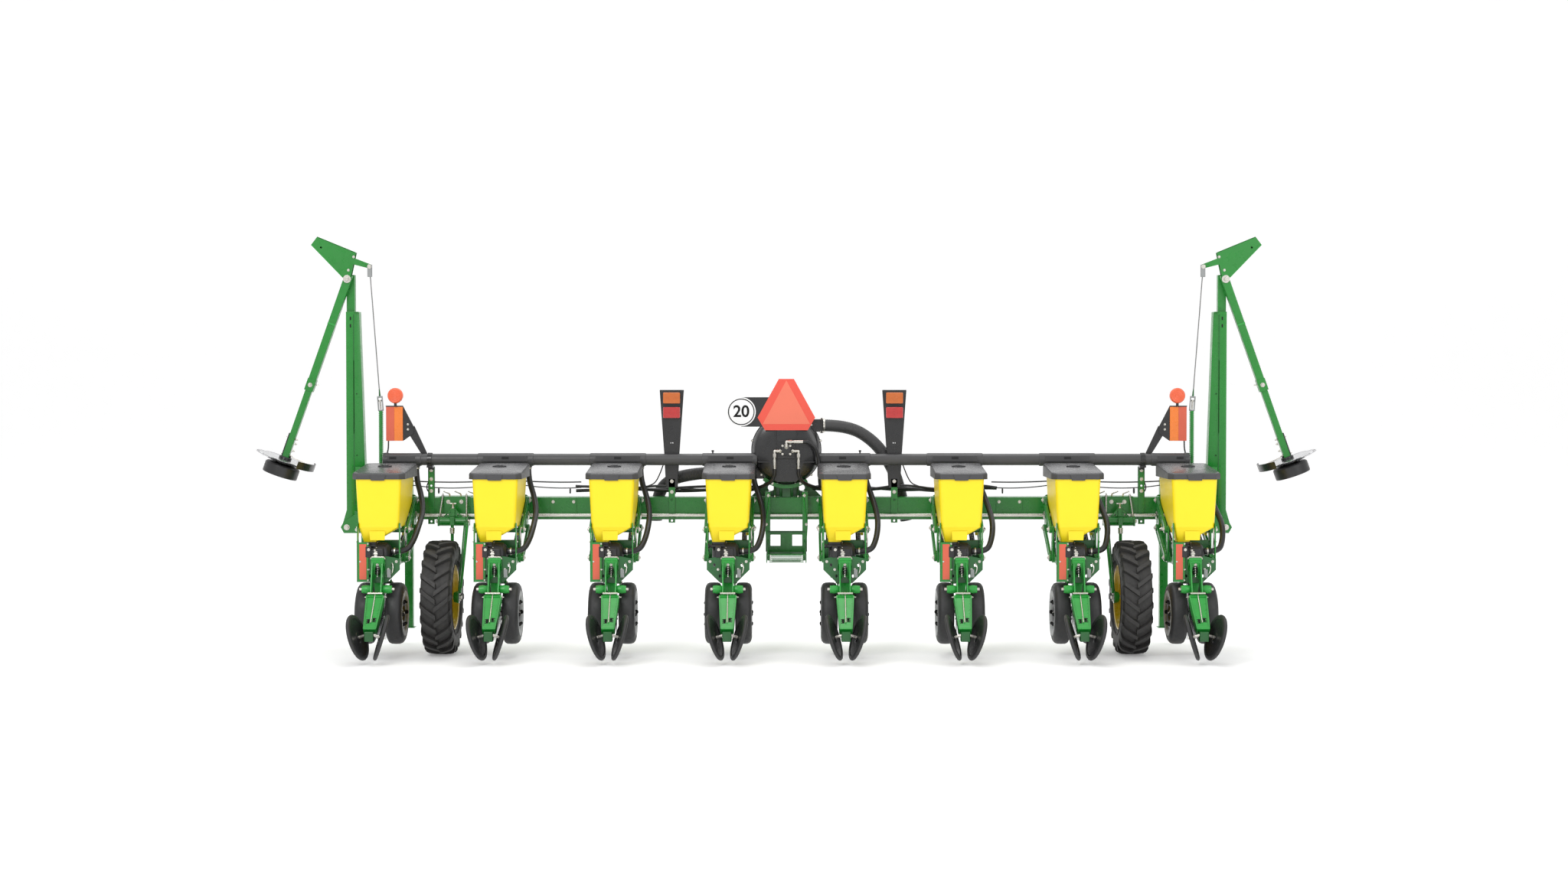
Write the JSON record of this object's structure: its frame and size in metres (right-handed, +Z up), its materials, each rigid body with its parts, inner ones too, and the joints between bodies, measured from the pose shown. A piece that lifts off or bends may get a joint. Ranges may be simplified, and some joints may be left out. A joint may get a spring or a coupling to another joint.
{
  "type": "corn planter",
  "caption": "Mounted corn planter with yellow hoppers, vacuum meters, drive wheels and folding row markers.",
  "frame": {"origin": "midpoint between the two lower hitch pins", "axes": "+Z up, +Y the direction of travel, +X right as seen from behind"},
  "size_m": [7.2366, 1.5953, 2.7954],
  "materials": {
    "green_paint": "gloss",
    "yellow_poly": "gloss",
    "lid_plastic": "satin",
    "pipe_plastic": "matte",
    "black_paint": "satin",
    "black_rubber": "matte",
    "tyre_rubber": "matte",
    "zinc": "satin",
    "sign_red": "satin",
    "disc_steel": "satin"
  },
  "bodies": {
    "root": {"toolbar": "green_paint", "row_heads": "green_paint", "hitch_frame": "green_paint", "stands_and_step": "green_paint", "vacuum_manifold": "pipe_plastic", "fan_assembly": "black_paint", "fan_hoses": "black_rubber", "row_vacuum_hoses": "black_rubber", "lights_and_signs": "sign_red"},
    "drive_shaft": {"drive_shaft": "zinc"},
    "left_wheel_arm": {"left_wheel_arm": "green_paint"},
    "left_drive_wheel": {"left_drive_wheel": "tyre_rubber"},
    "left_marker_arm": {"left_marker_arm": "green_paint"},
    "left_marker_boom": {"left_marker_boom": "green_paint"},
    "left_marker_disc": {"left_marker_disc": "disc_steel"},
    "right_wheel_arm": {"right_wheel_arm": "green_paint"},
    "right_drive_wheel": {"right_drive_wheel": "tyre_rubber"},
    "right_marker_arm": {"right_marker_arm": "green_paint"},
    "right_marker_boom": {"right_marker_boom": "green_paint"},
    "right_marker_disc": {"right_marker_disc": "disc_steel"},
    "row1_upper_arms": {"row1_upper_arms": "green_paint"},
    "row1_lower_arms": {"row1_lower_arms": "green_paint"},
    "row1_unit": {"row1_frame": "green_paint", "row1_hopper": "yellow_poly"},
    "row1_lid": {"row1_lid": "lid_plastic"},
    "row2_upper_arms": {"row2_upper_arms": "green_paint"},
    "row2_lower_arms": {"row2_lower_arms": "green_paint"},
    "row2_unit": {"row2_frame": "green_paint", "row2_hopper": "yellow_poly"},
    "row2_lid": {"row2_lid": "lid_plastic"},
    "row3_upper_arms": {"row3_upper_arms": "green_paint"},
    "row3_lower_arms": {"row3_lower_arms": "green_paint"},
    "row3_unit": {"row3_frame": "green_paint", "row3_hopper": "yellow_poly"},
    "row3_lid": {"row3_lid": "lid_plastic"},
    "row4_upper_arms": {"row4_upper_arms": "green_paint"},
    "row4_lower_arms": {"row4_lower_arms": "green_paint"},
    "row4_unit": {"row4_frame": "green_paint", "row4_hopper": "yellow_poly"},
    "row4_lid": {"row4_lid": "lid_plastic"},
    "row5_upper_arms": {"row5_upper_arms": "green_paint"},
    "row5_lower_arms": {"row5_lower_arms": "green_paint"},
    "row5_unit": {"row5_frame": "green_paint", "row5_hopper": "yellow_poly"},
    "row5_lid": {"row5_lid": "lid_plastic"},
    "row6_upper_arms": {"row6_upper_arms": "green_paint"},
    "row6_lower_arms": {"row6_lower_arms": "green_paint"},
    "row6_unit": {"row6_frame": "green_paint", "row6_hopper": "yellow_poly"},
    "row6_lid": {"row6_lid": "lid_plastic"},
    "row7_upper_arms": {"row7_upper_arms": "green_paint"},
    "row7_lower_arms": {"row7_lower_arms": "green_paint"},
    "row7_unit": {"row7_frame": "green_paint", "row7_hopper": "yellow_poly"},
    "row7_lid": {"row7_lid": "lid_plastic"},
    "row8_upper_arms": {"row8_upper_arms": "green_paint"},
    "row8_lower_arms": {"row8_lower_arms": "green_paint"},
    "row8_unit": {"row8_frame": "green_paint", "row8_hopper": "yellow_poly"},
    "row8_lid": {"row8_lid": "lid_plastic"}
  },
  "joints": [
    {"name": "left_wheel_arm_swing", "type": "hinge", "parent": "root", "child": "left_wheel_arm", "pos_m": [-2.26, -0.4702, 0.061], "axis": [-1, 0, 0], "range_deg": [0, 20]},
    {"name": "left_drive_wheel_spin", "type": "hinge", "parent": "left_wheel_arm", "child": "left_drive_wheel", "pos_m": [-2.286, -0.8102, -0.422], "axis": [-1, 0, 0], "continuous": true},
    {"name": "left_marker_swing", "type": "hinge", "parent": "root", "child": "left_marker_arm", "pos_m": [-3, -0.3, 0.015], "axis": [0, -1, 0], "range_deg": [0, 90]},
    {"name": "left_marker_unfold", "type": "hinge", "parent": "left_marker_arm", "child": "left_marker_boom", "pos_m": [-2.987, -0.3565, 1.707], "axis": [0, 1, 0], "range_deg": [0, 160.2]},
    {"name": "left_marker_disc_spin", "type": "hinge", "parent": "left_marker_boom", "child": "left_marker_disc", "pos_m": [-3.43096, -0.3565, 0.45329], "axis": [-0.3338, 0, -0.9426], "continuous": true},
    {"name": "right_wheel_arm_swing", "type": "hinge", "parent": "root", "child": "right_wheel_arm", "pos_m": [2.26, -0.4702, 0.061], "axis": [-1, 0, 0], "range_deg": [0, 20]},
    {"name": "right_drive_wheel_spin", "type": "hinge", "parent": "right_wheel_arm", "child": "right_drive_wheel", "pos_m": [2.286, -0.8102, -0.422], "axis": [-1, 0, 0], "continuous": true},
    {"name": "right_marker_swing", "type": "hinge", "parent": "root", "child": "right_marker_arm", "pos_m": [3, -0.3, 0.015], "axis": [0, 1, 0], "range_deg": [0, 90]},
    {"name": "right_marker_unfold", "type": "hinge", "parent": "right_marker_arm", "child": "right_marker_boom", "pos_m": [2.987, -0.3565, 1.707], "axis": [0, -1, 0], "range_deg": [0, 160.2]},
    {"name": "right_marker_disc_spin", "type": "hinge", "parent": "right_marker_boom", "child": "right_marker_disc", "pos_m": [3.43096, -0.3565, 0.45329], "axis": [0.3338, 0, -0.9426], "continuous": true},
    {"name": "drive_shaft_turn", "type": "hinge", "parent": "root", "child": "drive_shaft", "pos_m": [0, -0.4202, 0.102], "axis": [-1, 0, 0], "continuous": true},
    {"name": "row1_float", "type": "hinge", "parent": "root", "child": "row1_upper_arms", "pos_m": [-2.667, -0.4702, 0.205], "axis": [-1, 0, 0], "range_deg": [0, 50], "deforming": ["row_vacuum_hoses"]},
    {"name": "row1_lower_arms_swing", "type": "hinge", "parent": "root", "child": "row1_lower_arms", "pos_m": [-2.667, -0.4702, 0.017], "axis": [-1, 0, 0], "range_deg": [0, 50]},
    {"name": "row1_unit_level", "type": "hinge", "parent": "row1_upper_arms", "child": "row1_unit", "pos_m": [-2.667, -0.82972, 0.02965], "axis": [-1, 0, 0], "range_deg": [-50, 0]},
    {"name": "row1_lid_lift", "type": "slide", "parent": "row1_unit", "child": "row1_lid", "axis": [0, 0, 1], "range_m": [0, 0.15]},
    {"name": "row2_float", "type": "hinge", "parent": "root", "child": "row2_upper_arms", "pos_m": [-1.905, -0.4702, 0.205], "axis": [-1, 0, 0], "range_deg": [0, 50]},
    {"name": "row2_lower_arms_swing", "type": "hinge", "parent": "root", "child": "row2_lower_arms", "pos_m": [-1.905, -0.4702, 0.017], "axis": [-1, 0, 0], "range_deg": [0, 50]},
    {"name": "row2_unit_level", "type": "hinge", "parent": "row2_upper_arms", "child": "row2_unit", "pos_m": [-1.905, -0.82972, 0.02965], "axis": [-1, 0, 0], "range_deg": [-50, 0]},
    {"name": "row2_lid_lift", "type": "slide", "parent": "row2_unit", "child": "row2_lid", "axis": [0, 0, 1], "range_m": [0, 0.15]},
    {"name": "row3_float", "type": "hinge", "parent": "root", "child": "row3_upper_arms", "pos_m": [-1.143, -0.4702, 0.205], "axis": [-1, 0, 0], "range_deg": [0, 50]},
    {"name": "row3_lower_arms_swing", "type": "hinge", "parent": "root", "child": "row3_lower_arms", "pos_m": [-1.143, -0.4702, 0.017], "axis": [-1, 0, 0], "range_deg": [0, 50]},
    {"name": "row3_unit_level", "type": "hinge", "parent": "row3_upper_arms", "child": "row3_unit", "pos_m": [-1.143, -0.82972, 0.02965], "axis": [-1, 0, 0], "range_deg": [-50, 0]},
    {"name": "row3_lid_lift", "type": "slide", "parent": "row3_unit", "child": "row3_lid", "axis": [0, 0, 1], "range_m": [0, 0.15]},
    {"name": "row4_float", "type": "hinge", "parent": "root", "child": "row4_upper_arms", "pos_m": [-0.381, -0.4702, 0.205], "axis": [-1, 0, 0], "range_deg": [0, 50]},
    {"name": "row4_lower_arms_swing", "type": "hinge", "parent": "root", "child": "row4_lower_arms", "pos_m": [-0.381, -0.4702, 0.017], "axis": [-1, 0, 0], "range_deg": [0, 50]},
    {"name": "row4_unit_level", "type": "hinge", "parent": "row4_upper_arms", "child": "row4_unit", "pos_m": [-0.381, -0.82972, 0.02965], "axis": [-1, 0, 0], "range_deg": [-50, 0]},
    {"name": "row4_lid_lift", "type": "slide", "parent": "row4_unit", "child": "row4_lid", "axis": [0, 0, 1], "range_m": [0, 0.15]},
    {"name": "row5_float", "type": "hinge", "parent": "root", "child": "row5_upper_arms", "pos_m": [0.381, -0.4702, 0.205], "axis": [-1, 0, 0], "range_deg": [0, 50]},
    {"name": "row5_lower_arms_swing", "type": "hinge", "parent": "root", "child": "row5_lower_arms", "pos_m": [0.381, -0.4702, 0.017], "axis": [-1, 0, 0], "range_deg": [0, 50]},
    {"name": "row5_unit_level", "type": "hinge", "parent": "row5_upper_arms", "child": "row5_unit", "pos_m": [0.381, -0.82972, 0.02965], "axis": [-1, 0, 0], "range_deg": [-50, 0]},
    {"name": "row5_lid_lift", "type": "slide", "parent": "row5_unit", "child": "row5_lid", "axis": [0, 0, 1], "range_m": [0, 0.15]},
    {"name": "row6_float", "type": "hinge", "parent": "root", "child": "row6_upper_arms", "pos_m": [1.143, -0.4702, 0.205], "axis": [-1, 0, 0], "range_deg": [0, 50]},
    {"name": "row6_lower_arms_swing", "type": "hinge", "parent": "root", "child": "row6_lower_arms", "pos_m": [1.143, -0.4702, 0.017], "axis": [-1, 0, 0], "range_deg": [0, 50]},
    {"name": "row6_unit_level", "type": "hinge", "parent": "row6_upper_arms", "child": "row6_unit", "pos_m": [1.143, -0.82972, 0.02965], "axis": [-1, 0, 0], "range_deg": [-50, 0]},
    {"name": "row6_lid_lift", "type": "slide", "parent": "row6_unit", "child": "row6_lid", "axis": [0, 0, 1], "range_m": [0, 0.15]},
    {"name": "row7_float", "type": "hinge", "parent": "root", "child": "row7_upper_arms", "pos_m": [1.905, -0.4702, 0.205], "axis": [-1, 0, 0], "range_deg": [0, 50]},
    {"name": "row7_lower_arms_swing", "type": "hinge", "parent": "root", "child": "row7_lower_arms", "pos_m": [1.905, -0.4702, 0.017], "axis": [-1, 0, 0], "range_deg": [0, 50]},
    {"name": "row7_unit_level", "type": "hinge", "parent": "row7_upper_arms", "child": "row7_unit", "pos_m": [1.905, -0.82972, 0.02965], "axis": [-1, 0, 0], "range_deg": [-50, 0]},
    {"name": "row7_lid_lift", "type": "slide", "parent": "row7_unit", "child": "row7_lid", "axis": [0, 0, 1], "range_m": [0, 0.15]},
    {"name": "row8_float", "type": "hinge", "parent": "root", "child": "row8_upper_arms", "pos_m": [2.667, -0.4702, 0.205], "axis": [-1, 0, 0], "range_deg": [0, 50]},
    {"name": "row8_lower_arms_swing", "type": "hinge", "parent": "root", "child": "row8_lower_arms", "pos_m": [2.667, -0.4702, 0.017], "axis": [-1, 0, 0], "range_deg": [0, 50]},
    {"name": "row8_unit_level", "type": "hinge", "parent": "row8_upper_arms", "child": "row8_unit", "pos_m": [2.667, -0.82972, 0.02965], "axis": [-1, 0, 0], "range_deg": [-50, 0]},
    {"name": "row8_lid_lift", "type": "slide", "parent": "row8_unit", "child": "row8_lid", "axis": [0, 0, 1], "range_m": [0, 0.15]}
  ],
  "couplings": [
    {"joint": "left_marker_unfold", "follows": "left_marker_swing", "ratio": 1.78},
    {"joint": "right_marker_unfold", "follows": "right_marker_swing", "ratio": 1.78},
    {"joint": "drive_shaft_turn", "follows": "left_drive_wheel_spin", "ratio": 2.4},
    {"joint": "row1_lower_arms_swing", "follows": "row1_float", "ratio": 1},
    {"joint": "row1_unit_level", "follows": "row1_float", "ratio": -1},
    {"joint": "row2_lower_arms_swing", "follows": "row2_float", "ratio": 1},
    {"joint": "row2_unit_level", "follows": "row2_float", "ratio": -1},
    {"joint": "row3_lower_arms_swing", "follows": "row3_float", "ratio": 1},
    {"joint": "row3_unit_level", "follows": "row3_float", "ratio": -1},
    {"joint": "row4_lower_arms_swing", "follows": "row4_float", "ratio": 1},
    {"joint": "row4_unit_level", "follows": "row4_float", "ratio": -1},
    {"joint": "row5_lower_arms_swing", "follows": "row5_float", "ratio": 1},
    {"joint": "row5_unit_level", "follows": "row5_float", "ratio": -1},
    {"joint": "row6_lower_arms_swing", "follows": "row6_float", "ratio": 1},
    {"joint": "row6_unit_level", "follows": "row6_float", "ratio": -1},
    {"joint": "row7_lower_arms_swing", "follows": "row7_float", "ratio": 1},
    {"joint": "row7_unit_level", "follows": "row7_float", "ratio": -1},
    {"joint": "row8_lower_arms_swing", "follows": "row8_float", "ratio": 1},
    {"joint": "row8_unit_level", "follows": "row8_float", "ratio": -1}
  ]
}
